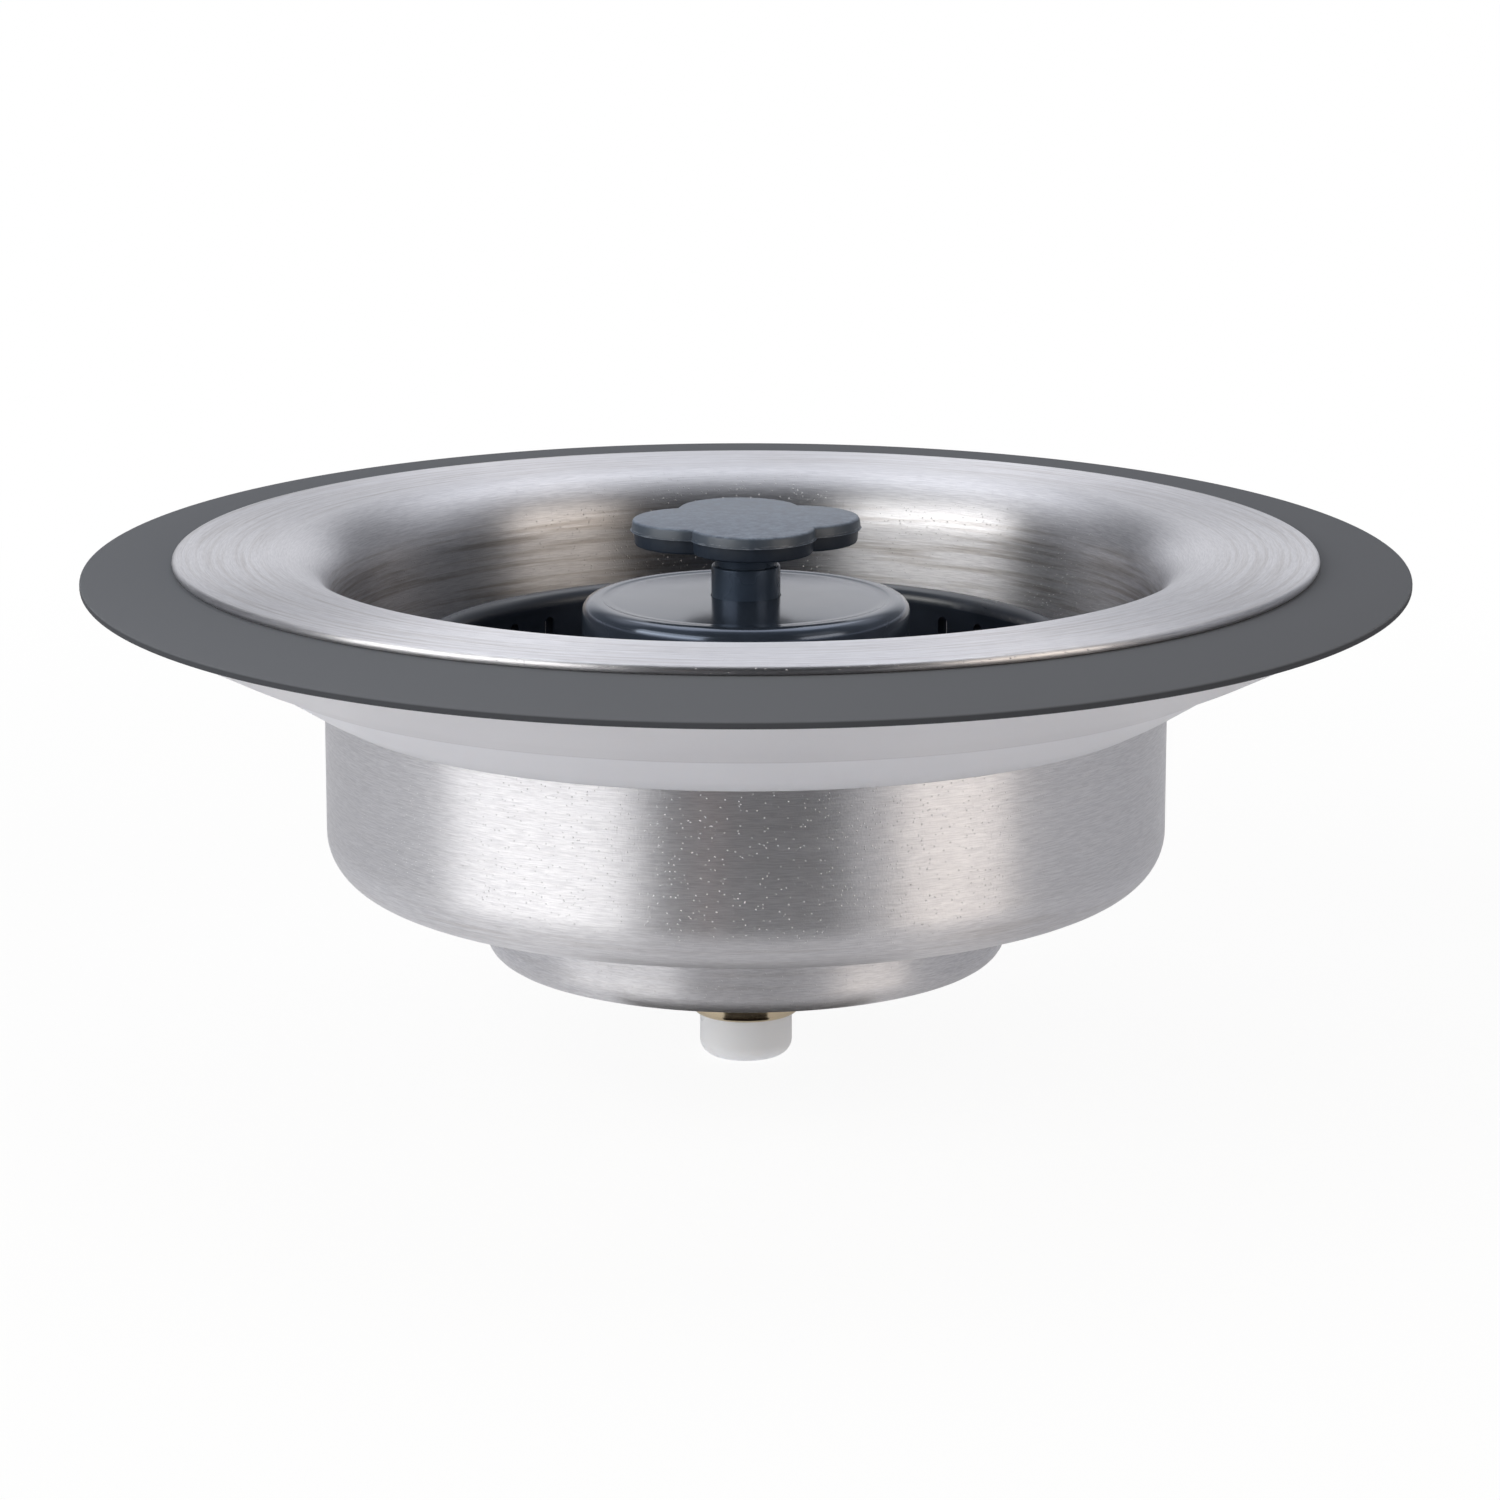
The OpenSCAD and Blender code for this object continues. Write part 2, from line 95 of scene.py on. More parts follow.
steel = {
    "colour": "#dedee2",           # 304 stainless, a little cooler than nickel
    "dullColour": "#c9c9ce",       # where the belt has cut deeper
    "roughness": 0.39,
    "roughnessSpread": (-0.02, 0.03),
    "anisotropy": 0.88,
    "lineWidth": 0.11,             # mm between brush lines
    "lineTurns": 26,               # how often a line starts and stops in one turn
    "lineDepth": 0.002,            # mm
    "patchWidth": 1.6,             # mm, where the belt pressed harder or softer
    "patchTurns": 2.2,
    "streakColour": "#d7d3cf",     # the coarser marks left inside the cup by the drawing press
    "streakWidth": 0.5,            # mm
    "streakTurns": 3,
    "streakWall": (41.4, 42.0),    # mm radius, where these marks fade out towards the outer wall
    "streakHeight": (-32, -28),    # mm, and towards the step
    "streakFlange": (46.5, 48.5),  # mm radius, where they come back weaker
    "flangeShare": 0.55,
    "grainSize": 0.2,              # mm, the sparkle between the lines
    "grainDepth": 0.024,           # mm
    "pitSpacing": 0.45,            # mm between the pits that catch the lamps in the dark bands
    "pitRadius": 0.085,            # mm, coarser than the real ones so that they show
    "pitDepth": 0.055,             # mm
}


def brushedStainlessSteel():
    # Pressed 304 sheet, brushed on a lathe. Fine concentric lines stretch every highlight across them,
    # which gives the cup its upright light and dark bands.
    material, tree, surface = newMaterial(
        "brushedStainlessSteel", Metallic=1.0, Anisotropic=steel["anisotropy"], Anisotropic_Rotation=0.25)
    bent, w, axes, radius = ringCoordinates(tree, steel["lineTurns"], 1 / (steel["lineWidth"] * mm))
    lines = addNode(tree, "ShaderNodeTexNoise", {"noise_dimensions": "4D"},
                    Vector=bent, W=w, Scale=1.0, Detail=2.0, Roughness=0.6)
    wide, wideW, _, _ = ringCoordinates(tree, steel["patchTurns"], 1 / (steel["patchWidth"] * mm))
    patches = addNode(tree, "ShaderNodeTexNoise", {"noise_dimensions": "4D"},
                      Vector=wide, W=wideW, Scale=1.0, Detail=2.0, Roughness=0.5)
    place = addNode(tree, "ShaderNodeTexCoord").outputs["Object"]
    grain = addNode(tree, "ShaderNodeTexNoise", Vector=place, Scale=1 / (steel["grainSize"] * mm), Detail=1.0)
    long, longW, _, _ = ringCoordinates(tree, steel["streakTurns"], 1 / (steel["streakWidth"] * mm))
    streaks = addNode(tree, "ShaderNodeTexNoise", {"noise_dimensions": "4D"},
                      Vector=long, W=longW, Scale=1.0, Detail=2.0, Roughness=0.5)
    tone = addNode(tree, "ShaderNodeMapRange", Value=lines.outputs["Fac"], From_Min=0.35, From_Max=0.65)
    colour = addNode(tree, "ShaderNodeMix", {"data_type": "RGBA"}, Factor=tone.outputs[0],
                     in6=toLinear(steel["dullColour"]), in7=toLinear(steel["colour"]))
    first, last = steel["streakWall"]
    wall = addNode(tree, "ShaderNodeMapRange", Value=radius, From_Min=first * mm, From_Max=last * mm,
                   To_Min=1.2, To_Max=0.1)
    bottom, top = steel["streakHeight"]
    above = addNode(tree, "ShaderNodeMapRange", Value=axes["Z"], From_Min=bottom * mm, From_Max=top * mm,
                    To_Min=0.2, To_Max=1.0)
    first, last = steel["streakFlange"]
    flange = addNode(tree, "ShaderNodeMapRange", Value=radius, From_Min=first * mm, From_Max=last * mm,
                     To_Min=0.0, To_Max=steel["flangeShare"])
    places = addNode(tree, "ShaderNodeMath", {"operation": "ADD"}, in0=wall.outputs[0], in1=flange.outputs[0])
    inside = addNode(tree, "ShaderNodeMath", {"operation": "MULTIPLY"},
                     in0=places.outputs[0], in1=above.outputs[0])
    worn = addNode(tree, "ShaderNodeMapRange", Value=streaks.outputs["Fac"], From_Min=0.45, From_Max=0.7,
                   To_Min=0.0, To_Max=inside.outputs[0])
    marked = addNode(tree, "ShaderNodeMix", {"data_type": "RGBA", "blend_type": "MULTIPLY"},
                     Factor=worn.outputs[0], in6=colour.outputs[2], in7=toLinear(steel["streakColour"]))
    tree.links.new(marked.outputs[2], surface.inputs["Base Color"])
    mixed = addNode(tree, "ShaderNodeMath", {"operation": "ADD"},
                    in0=lines.outputs["Fac"], in1=patches.outputs["Fac"])
    smoother, rougher = steel["roughnessSpread"]
    rough = addNode(tree, "ShaderNodeMapRange", Value=mixed.outputs[0], From_Min=0.7, From_Max=1.3,
                    To_Min=steel["roughness"] + smoother, To_Max=steel["roughness"] + rougher)
    tree.links.new(rough.outputs[0], surface.inputs["Roughness"])
    spots = addNode(tree, "ShaderNodeTexVoronoi", Vector=place, Scale=1 / (steel["pitSpacing"] * mm))
    pits = addNode(tree, "ShaderNodeMapRange", {"interpolation_type": "SMOOTHSTEP"},
                   Value=spots.outputs["Distance"], From_Min=0.0,
                   From_Max=steel["pitRadius"] / steel["pitSpacing"], To_Min=1.0, To_Max=0.0)
    pitted = addNode(tree, "ShaderNodeBump", Strength=0.8, Distance=steel["pitDepth"] * mm,
                     Height=pits.outputs[0])
    sparkle = addNode(tree, "ShaderNodeBump", Strength=0.35, Distance=steel["grainDepth"] * mm,
                      Height=grain.outputs["Fac"], Normal=pitted.outputs[0])
    bump = addNode(tree, "ShaderNodeBump", Strength=0.3, Distance=steel["lineDepth"] * mm,
                   Height=lines.outputs["Fac"], Normal=sparkle.outputs[0])
    tree.links.new(bump.outputs[0], surface.inputs["Normal"])
    # the brush lines run round the axis, so the tangent is the axis crossed with the place
    tangent = addNode(tree, "ShaderNodeVectorMath", {"operation": "CROSS_PRODUCT"}, in0=(0, 0, 1), in1=place)
    tree.links.new(tangent.outputs[0], surface.inputs["Tangent"])
    return material


def turnedMetal(name, colour, roughness, lineWidth):
    # Turned and plated bar: bright, with the tool's fine rings left in it.
    ringDepth = 0.004 * mm
    material, tree, surface = newMaterial(name, Metallic=1.0, Base_Color=toLinear(colour))
    bent, w, _, _ = ringCoordinates(tree, 5.0, 1 / (lineWidth * mm))
    rings = addNode(tree, "ShaderNodeTexNoise", {"noise_dimensions": "4D"},
                    Vector=bent, W=w, Scale=1.0, Detail=2.0)
    rough = addNode(tree, "ShaderNodeMapRange", Value=rings.outputs["Fac"], From_Min=0.3, From_Max=0.7,
                    To_Min=roughness * 0.75, To_Max=roughness * 1.3)
    tree.links.new(rough.outputs[0], surface.inputs["Roughness"])
    bump = addNode(tree, "ShaderNodeBump", Strength=0.25, Distance=ringDepth, Height=rings.outputs["Fac"])
    tree.links.new(bump.outputs[0], surface.inputs["Normal"])
    return material


# plastics and rubber


def mouldedPlastic(name, colour, paleColour, roughness, grain, depth, **sockets):
    # Injection-moulded plastic: an even colour that pales a little in patches,
    # over a fine spark-eroded grain.
    patchSize = 7 * mm
    material, tree, surface = newMaterial(name, IOR=1.5, **sockets)
    place = addNode(tree, "ShaderNodeTexCoord").outputs["Object"]
    cloud = addNode(tree, "ShaderNodeTexNoise", Vector=place, Scale=1 / patchSize,
                    Detail=3.0, Roughness=0.55)
    fine = addNode(tree, "ShaderNodeTexNoise", Vector=place, Scale=1 / (grain * mm), Detail=2.0)
    blend = addNode(tree, "ShaderNodeMapRange", Value=cloud.outputs["Fac"], From_Min=0.35, From_Max=0.7)
    tint = addNode(tree, "ShaderNodeMix", {"data_type": "RGBA"}, Factor=blend.outputs[0],
                   in6=toLinear(colour), in7=toLinear(paleColour))
    tree.links.new(tint.outputs[2], surface.inputs["Base Color"])
    rough = addNode(tree, "ShaderNodeMapRange", Value=cloud.outputs["Fac"], From_Min=0.3, From_Max=0.7,
                    To_Min=roughness * 0.85, To_Max=roughness * 1.2)
    tree.links.new(rough.outputs[0], surface.inputs["Roughness"])
    bump = addNode(tree, "ShaderNodeBump", Strength=0.4, Distance=depth * mm, Height=fine.outputs["Fac"])
    tree.links.new(bump.outputs[0], surface.inputs["Normal"])
    return material


scuffed = {
    # painted light: the top colours, over the real mottle, are paler than the sides
    "topColours": ("#4e596b", "#808c9e"),
    "sideColours": ("#232d3b", "#3e4855"),  # painted shade on the sides, below and above the parting line
    "sideChange": (1.85, 1.97),             # mm height over which the painted shade below the parting line gives way
    "streakColour": "#9aa1ad",
    "streakHeight": (2.06, 0.14),           # mm, the middle of the band and half its height
    "streakGrain": (1.4, 0.25),             # mm along and across the line
    "scuffSize": 0.9,                       # mm
    "scuffDepth": 0.012,                    # mm
}


def handledSlateAbs():
    # Slate ABS from a dull tool, scuffed by fingers into a mottled top. The top is painted paler and the
    # sides darker, nearly black with painted shade below the parting line; pale streaks where the flash along
    # it broke off.
    material, tree, surface = newMaterial("handledSlateAbs", IOR=1.5)
    place = addNode(tree, "ShaderNodeTexCoord").outputs["Object"]
    height = addNode(tree, "ShaderNodeSeparateXYZ", Vector=place).outputs["Z"]
    normal = addNode(tree, "ShaderNodeNewGeometry").outputs["Normal"]
    up = addNode(tree, "ShaderNodeSeparateXYZ", Vector=normal).outputs["Z"]
    scuffs = addNode(tree, "ShaderNodeTexNoise", Vector=place, Scale=1 / (scuffed["scuffSize"] * mm),
                     Detail=5.0, Roughness=0.8)
    mottle = addNode(tree, "ShaderNodeMapRange", Value=scuffs.outputs["Fac"], From_Min=0.36, From_Max=0.66)
    dark, pale = scuffed["topColours"]
    top = addNode(tree, "ShaderNodeMix", {"data_type": "RGBA"}, Factor=mottle.outputs[0],
                  in6=toLinear(dark), in7=toLinear(pale))
    # painted shade: the sides darken below the parting line
    start, end = scuffed["sideChange"]
    under = addNode(tree, "ShaderNodeMapRange", Value=height, From_Min=start * mm, From_Max=end * mm)
    dark, pale = scuffed["sideColours"]
    side = addNode(tree, "ShaderNodeMix", {"data_type": "RGBA"}, Factor=under.outputs[0],
                   in6=toLinear(dark), in7=toLinear(pale))
    # painted light and shade: faces that look up take the paler top, the others the darker sides
    flat = addNode(tree, "ShaderNodeMapRange", Value=up, From_Min=0.35, From_Max=0.85)
    body = addNode(tree, "ShaderNodeMix", {"data_type": "RGBA"}, Factor=flat.outputs[0],
                   in6=side.outputs[2], in7=top.outputs[2])
    # the streaks lie along the line, so the noise is stretched across and squeezed in height
    long, tall = (1 / (size * mm) for size in scuffed["streakGrain"])
    along = addNode(tree, "ShaderNodeMapping", Vector=place, Scale=(long, long, tall))
    broken = addNode(tree, "ShaderNodeTexNoise", Vector=along.outputs[0], Scale=1.0,
                     Detail=4.0, Roughness=0.7)
    middle, half = scuffed["streakHeight"]
    near = addNode(tree, "ShaderNodeMath", {"operation": "COMPARE"},
                   in0=height, in1=middle * mm, in2=half * mm)
    worn = addNode(tree, "ShaderNodeMapRange", Value=broken.outputs["Fac"], From_Min=0.5, From_Max=0.75,
                   To_Min=0.0, To_Max=0.8)
    streak = addNode(tree, "ShaderNodeMath", {"operation": "MULTIPLY"},
                     in0=worn.outputs[0], in1=near.outputs[0])
    marked = addNode(tree, "ShaderNodeMix", {"data_type": "RGBA"}, Factor=streak.outputs[0],
                     in6=body.outputs[2], in7=toLinear(scuffed["streakColour"]))
    tree.links.new(marked.outputs[2], surface.inputs["Base Color"])
    rough = addNode(tree, "ShaderNodeMapRange", Value=scuffs.outputs["Fac"], From_Min=0.3, From_Max=0.7,
                    To_Min=0.34, To_Max=0.52)
    tree.links.new(rough.outputs[0], surface.inputs["Roughness"])
    bump = addNode(tree, "ShaderNodeBump", Strength=0.4, Distance=scuffed["scuffDepth"] * mm,
                   Height=scuffs.outputs["Fac"])
    tree.links.new(bump.outputs[0], surface.inputs["Normal"])
    return material


calendered = {
    # the edge colour is painted shade
    "edgeColour": "#3f4146",
    "faceColour": "#676a70",
    "talcSize": 0.25,     # mm, the dusting that the sheet is rolled with
    "talcDepth": 0.002,   # mm
}


def cutRubberSheet():
    # EPDM sheet, calendered flat and die cut: an even mid grey with no gloss, and painted shade on its cut
    # edge.
    material, tree, surface = newMaterial("greyEpdmRubber", IOR=1.5, Roughness=0.92, Specular_IOR_Level=0.25)
    normal = addNode(tree, "ShaderNodeNewGeometry").outputs["Normal"]
    up = addNode(tree, "ShaderNodeSeparateXYZ", Vector=normal).outputs["Z"]
    # painted shade: faces that turn away from up take the darker edge colour
    face = addNode(tree, "ShaderNodeMapRange", Value=up, From_Min=0.15, From_Max=0.75)
    tint = addNode(tree, "ShaderNodeMix", {"data_type": "RGBA"}, Factor=face.outputs[0],
                   in6=toLinear(calendered["edgeColour"]), in7=toLinear(calendered["faceColour"]))
    tree.links.new(tint.outputs[2], surface.inputs["Base Color"])
    place = addNode(tree, "ShaderNodeTexCoord").outputs["Object"]
    talc = addNode(tree, "ShaderNodeTexNoise", Vector=place, Scale=1 / (calendered["talcSize"] * mm),
                   Detail=2.0)
    bump = addNode(tree, "ShaderNodeBump", Strength=0.1, Distance=calendered["talcDepth"] * mm,
                   Height=talc.outputs["Fac"])
    tree.links.new(bump.outputs[0], surface.inputs["Normal"])
    return material


milky = {
    "colours": ("#e2e2e8", "#e9e9ee"),
    "lipColour": "#eff0f7",
    "lipRadii": (49.7, 50.0),   # mm, over which the lip's painted light gives way to the body's colour
    # painted shade along the crease
    "creaseColour": "#cccbd2",
    "creaseRadius": 49.95,      # mm
    "creaseHalf": 0.12,         # mm, half its width
    "creaseShare": 0.6,
    "cloudSize": 9,             # mm
    "grainSize": 0.5,           # mm
    "grainDepth": 0.004,        # mm
}


def naturalPolypropylene():
    # Unfilled moulded polypropylene: milky and lets some light in. The thin lip below its crease is painted
    # brighter, as if lit through, and the crease carries a painted shade.
    material, tree, surface = newMaterial(
        "naturalPolypropylene", IOR=1.49, Specular_IOR_Level=0.3, Transmission_Weight=0.25,
        Subsurface_Weight=0.3, Subsurface_Radius=(1.0, 0.9, 0.85), Subsurface_Scale=2.5 * mm)
    _, _, _, radius = ringCoordinates(tree, 1.0, 1.0)
    place = addNode(tree, "ShaderNodeTexCoord").outputs["Object"]
    cloud = addNode(tree, "ShaderNodeTexNoise", Vector=place, Scale=1 / (milky["cloudSize"] * mm), Detail=3.0)
    dark, pale = milky["colours"]
    body = addNode(tree, "ShaderNodeMix", {"data_type": "RGBA"}, Factor=cloud.outputs["Fac"],
                   in6=toLinear(dark), in7=toLinear(pale))
    start, end = milky["lipRadii"]
    # painted light: the thin lip is painted brighter than the body
    lip = addNode(tree, "ShaderNodeMapRange", Value=radius, From_Min=start * mm, From_Max=end * mm,
                  To_Min=1.0, To_Max=0.0)
    toned = addNode(tree, "ShaderNodeMix", {"data_type": "RGBA"}, Factor=lip.outputs[0],
                    in6=body.outputs[2], in7=toLinear(milky["lipColour"]))
    # a thin painted shade along the crease
    fold = addNode(tree, "ShaderNodeMath", {"operation": "COMPARE"},
                   in0=radius, in1=milky["creaseRadius"] * mm, in2=milky["creaseHalf"] * mm)
    shade = addNode(tree, "ShaderNodeMath", {"operation": "MULTIPLY"},
                    in0=fold.outputs[0], in1=milky["creaseShare"])
    creased = addNode(tree, "ShaderNodeMix", {"data_type": "RGBA"}, Factor=shade.outputs[0],
                      in6=toned.outputs[2], in7=toLinear(milky["creaseColour"]))
    tree.links.new(creased.outputs[2], surface.inputs["Base Color"])
    rough = addNode(tree, "ShaderNodeMapRange", Value=cloud.outputs["Fac"], From_Min=0.3, From_Max=0.7,
                    To_Min=0.36, To_Max=0.48)
    tree.links.new(rough.outputs[0], surface.inputs["Roughness"])
    fine = addNode(tree, "ShaderNodeTexNoise", Vector=place, Scale=1 / (milky["grainSize"] * mm), Detail=2.0)
    bump = addNode(tree, "ShaderNodeBump", Strength=0.4, Distance=milky["grainDepth"] * mm,
                   Height=fine.outputs["Fac"])
    tree.links.new(bump.outputs[0], surface.inputs["Normal"])
    return material


print("materials")
finishes = {
    "steel": brushedStainlessSteel(),
    # bright nickel over brass: warm where it mirrors the lamps
    "nickel": turnedMetal("brightNickelPlate", "#d6c6aa", 0.16, 0.12),
    # zinc plate with a blue passivation: pale and slightly dull
    "zinc": turnedMetal("blueZincPlate", "#c4c8cc", 0.34, 0.2),
    "rubber": cutRubberSheet(),
    "seat": naturalPolypropylene(),
    # acetal: dense white with a waxy gloss
    "acetal": mouldedPlastic("whiteAcetal", "#f1f3f8", "#f5f6fa", 0.3, 0.5, 0.002, Specular_IOR_Level=0.35,
                             Subsurface_Weight=0.25, Subsurface_Radius=(1.0, 0.95, 0.9),
                             Subsurface_Scale=1.2 * mm),
    # ABS from a polished tool: slate grey with a deep gloss. The stem is rubbed a little duller by its guide,
    # and the basket comes from a satin tool.
    "gloss": mouldedPlastic("glossySlateAbs", "#2e3540", "#38404c", 0.16, 0.9, 0.003, Specular_IOR_Level=0.95,
                            Specular_Tint=toLinear("#cddfff"), Coat_Weight=0.2, Coat_Roughness=0.2),
    "stem": mouldedPlastic("polishedSlateAbs", "#2f3947", "#37424f", 0.26, 0.9, 0.003,
                           Specular_Tint=toLinear("#c6dbff")),
    "knob": handledSlateAbs(),
    "basket": mouldedPlastic("satinSlateAbs", "#232a36", "#2a3240", 0.32, 0.4, 0.005, Coat_Weight=0.25,
                             Coat_Roughness=0.25),
    # nitrile: black, slightly oily
    "nitrile": mouldedPlastic("blackNitrile", "#17181a", "#1d1e20", 0.5, 0.3, 0.006),
}


def dress(obj, finish):
    obj.data.materials.clear()
    obj.data.materials.append(finishes[finish])


# spun pieces


def finishPiece(name, mesh, body, replaced, finish, sharpFrom=sharpAngle):
    data = bpy.data.meshes.new(name)
    mesh.to_mesh(data)
    mesh.free()
    for face in data.polygons:
        face.use_smooth = True
    data.set_sharp_from_angle(angle=math.radians(sharpFrom))
    obj = bpy.data.objects.new(name, data)
    bpy.context.scene.collection.objects.link(obj)
    dress(obj, finish)
    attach(obj, body)
    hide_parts(*replaced)
    return obj


def spunPiece(name, corners, body, replaced, finish, turns=192):
    # A section is drawn as corners in mm, each with its radius, height and rounding,
    # and then spun about the centre line.
    mesh = bmesh.new()
    verts = [mesh.verts.new((r * mm, 0, z * mm)) for r, z, _ in corners]
    mesh.faces.new(verts)
    for vert, (_, _, rounding) in zip(verts, corners):
        if rounding:
            bmesh.ops.bevel(mesh, geom=[vert], offset=rounding * mm, offset_type="OFFSET", affect="VERTICES",
                            segments=max(4, round(3 * rounding)), profile=0.5, material=-1)
    bmesh.ops.delete(mesh, geom=mesh.faces[:], context="FACES_ONLY")
    # an edge on the centre line itself would spin into nothing
    axis = [e for e in mesh.edges if all(abs(v.co.x) < merging for v in e.verts)]
    bmesh.ops.delete(mesh, geom=axis, context="EDGES")
    bmesh.ops.spin(mesh, geom=mesh.verts[:] + mesh.edges[:], axis=(0, 0, 1), cent=(0, 0, 0),
                   angle=math.tau, steps=turns, use_merge=True)
    bmesh.ops.remove_doubles(mesh, verts=mesh.verts, dist=merging)
    bmesh.ops.recalc_face_normals(mesh, faces=mesh.faces)
    return finishPiece(name, mesh, body, replaced, finish)


print("steel cup")
cup = {
    # mm: radius, height and rounding of each corner, as in every section below
    "section": [
        (57.0, 0, 0.45), (41.25, 0, 5.6), (41.25, -32.4, 4.3), (25.35, -32.4, 1.7), (25.35, -40.45, 1.4),
        (5.4, -40.45, 0), (5.4, -41.35, 0), (26.25, -41.35, 2.3), (26.25, -33.3, 0.8), (42.15, -33.3, 5.2),
        (42.15, -0.9, 4.7), (57.0, -0.9, 0.45),
    ],
    "turns": 256,
    "holes": 8,
    "holeRadius": 4.0,
    "holeRing": 15.5,       # mm from the centre line
    "holeMiddle": -40.9,    # mm, half way through the step's floor
    "holeSegments": 48,
    "drillLength": 4,
}


def steelCup():
    shell = spunPiece("steelCup", cup["section"], "strainer", ["strainer_cup", "drain_step"],
                      "steel", turns=cup["turns"])
    drills = bmesh.new()
    for i in range(cup["holes"]):
        angle = math.tau * i / cup["holes"]
        place = Matrix.Translation((cup["holeRing"] * mm * math.cos(angle),
                                    cup["holeRing"] * mm * math.sin(angle), cup["holeMiddle"] * mm))
        bmesh.ops.create_cone(drills, cap_ends=True, segments=cup["holeSegments"],
                              radius1=cup["holeRadius"] * mm, radius2=cup["holeRadius"] * mm,
                              depth=cup["drillLength"] * mm, matrix=place)
    data = bpy.data.meshes.new("drills")
    drills.to_mesh(data)
    drills.free()
    cutter = bpy.data.objects.new("drills", data)
    bpy.context.scene.collection.objects.link(cutter)
    cut = shell.modifiers.new("drainHoles", "BOOLEAN")
    cut.operation = "DIFFERENCE"
    cut.solver = "EXACT"
    cut.object = cutter
    drilled = bpy.data.meshes.new_from_object(shell.evaluated_get(bpy.context.evaluated_depsgraph_get()))
    shell.modifiers.clear()
    shell.data = drilled
    bpy.data.objects.remove(cutter)
    drilled.set_sharp_from_angle(angle=math.radians(sharpAngle))


steelCup()

print("gasket and seat ring")
gasket = {
    "section": [
        (47.05, -0.9, 0), (57.2, -0.9, 0.2), (66.1, -1.85, 0.18),
        (66.1, -2.6, 0.3), (57.2, -2.1, 0.3), (47.05, -2.1, 0),
    ],
    "turns": 224,
    "bendRadius": 57.2,
    "edgeRadius": 66.1,
    "sag": -0.08,       # mm at the sides, from the section
    "tilt": 1.13,       # mm the soft lip lifts at the back and drops at the front
}


def softGasket():
    # the flange holds it flat as far as the bend, and the free lip tilts
    lip = spunPiece("softGasket", gasket["section"], "strainer", ["flange_gasket"],
                    "rubber", turns=gasket["turns"])
    for vert in lip.data.vertices:
        x, y, _ = vert.co
        out = (math.hypot(x, y) / mm - gasket["bendRadius"]) / (gasket["edgeRadius"] - gasket["bendRadius"])
        if out > 0:
            vert.co.z += out * mm * (gasket["sag"] + gasket["tilt"] * math.sin(math.atan2(y, x)))


softGasket()

seatRing = {
    "turns": 224,
    "section": [
        (42.25, -15, 0), (44.45, -13.85, 0.4), (49.85, -10.53, 0.25), (54, -8.7, 0.6), (63.1, -4.15, 0.25),
        (62.8, -3.4, 0.15), (57.2, -2.1, 0.2), (47.05, -2.1, 0.2), (42.25, -6.4, 0.2),
    ],
}
spunPiece("seatRing", seatRing["section"], "strainer", ["seat_ring"],
          "seat", turns=seatRing["turns"])

print("plug rubber")
sealWasher = {
    "turns": 128,
    "section": [
        (16.0, -28.0, 0), (23.0, -27.9, 0.3), (27.6, -27.5, 0.4), (28.4, -28.0, 0.2), (30.4, -28.0, 0.2),
        (30.4, -27.3, 0.25), (23.8, -25.8, 0.4), (16.0, -25.8, 0),
    ],
}
spunPiece("sealWasher", sealWasher["section"], "plug", ["plug_seal"],
          "nitrile", turns=sealWasher["turns"])

rubberRings = {
    # mm: middle radius, height and thickness
    "gripRing": (2.8, -42.6, 1.0),
    "stemRing": (3.55, -27.4, 1.2),
    "segments": 20,
    "turns": 72,
}


def rubberRing(name, body, replaced):
    radius, height, thickness = rubberRings[name]
    mesh = bmesh.new()
    # the circle is stood up on its edge before it is spun
    place = Matrix.Translation((radius * mm, 0, height * mm)) @ Matrix.Rotation(math.pi / 2, 4, "X")
    bmesh.ops.create_circle(mesh, segments=rubberRings["segments"], radius=thickness / 2 * mm, matrix=place)
    bmesh.ops.spin(mesh, geom=mesh.verts[:] + mesh.edges[:], axis=(0, 0, 1), cent=(0, 0, 0),
                   angle=math.tau, steps=rubberRings["turns"], use_merge=True)
    bmesh.ops.recalc_face_normals(mesh, faces=mesh.faces)
    finishPiece(name, mesh, body, replaced, "nitrile", sharpFrom=60)


rubberRing("gripRing", "strainer", ["grip_ring"])
rubberRing("stemRing", "plug", ["stem_o_ring"])

print("hub and stem")
hub = {
    # mm
    "radius": 16.4,
    "top": -5.1,
    "rimWidth": 0.95,
    "edgeRound": 1.3,
    "crown": 0.3,         # how far the dome stands over the rim at the stem
    "domeRadius": 260,
    "domeSteps": 12,
    "rimStep": 0.25,      # from the dome's edge up to the flat rim
    "bore": 3.53,
    "guideRadius": 5.5,
    "guideEnd": -20.5,
    "plateUnder": -7.15,
    "skirtInside": 15.05,
    "skirtEnd": -13,
    "towerInside": 13.5,
    "ribs": 6,
    "ribHeight": 5,
    "ribThick": 1.2,
    "ribInto": 0.3,       # how far each rib reaches into the guide
    "ribOver": 0.1,       # and into the plate
}


